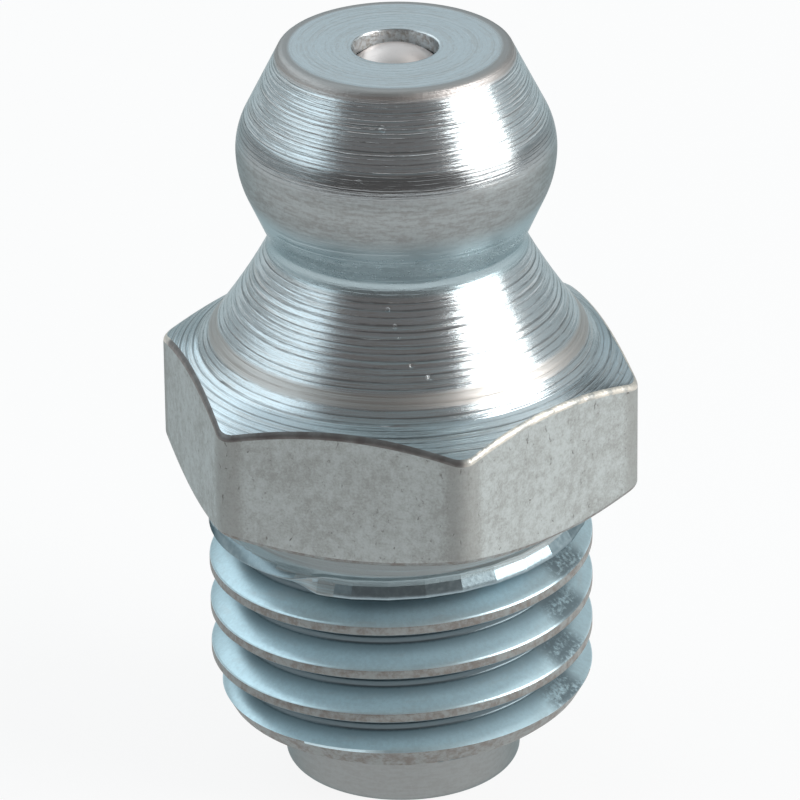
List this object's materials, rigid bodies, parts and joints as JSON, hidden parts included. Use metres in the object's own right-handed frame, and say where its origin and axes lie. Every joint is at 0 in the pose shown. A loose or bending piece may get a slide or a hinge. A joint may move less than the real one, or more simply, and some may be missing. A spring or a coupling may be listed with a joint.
{
  "type": "grease nipple",
  "caption": "Straight grease nipple: button head with a sprung check ball, waisted neck, flared hexagon, fine thread and plain spigot.",
  "frame": {"origin": "on the axis, at the free end of the spigot below the thread", "axes": "+Z along the axis, from the spigot up to the grease hole in the head; two flats of the hexagon are square to Y and two corners lie on X"},
  "size_m": [0.01, 0.0088, 0.016],
  "materials": {
    "zinc_plated_steel": "turned, clear bluish zinc plating",
    "polished_steel": "ground and polished",
    "spring_steel": "drawn wire"
  },
  "bodies": {
    "housing": {"nipple_body": "zinc_plated_steel", "valve_spring": "spring_steel"},
    "ball": {"check_ball": "polished_steel"}
  },
  "joints": [
    {"name": "check_ball_slide", "type": "slide", "parent": "housing", "child": "ball", "axis": [0, 0, -1], "range_m": [0, 0.0008], "stiffness_N_per_m": 550, "springref_m": -0.0015, "deforming": ["valve_spring"]}
  ]
}
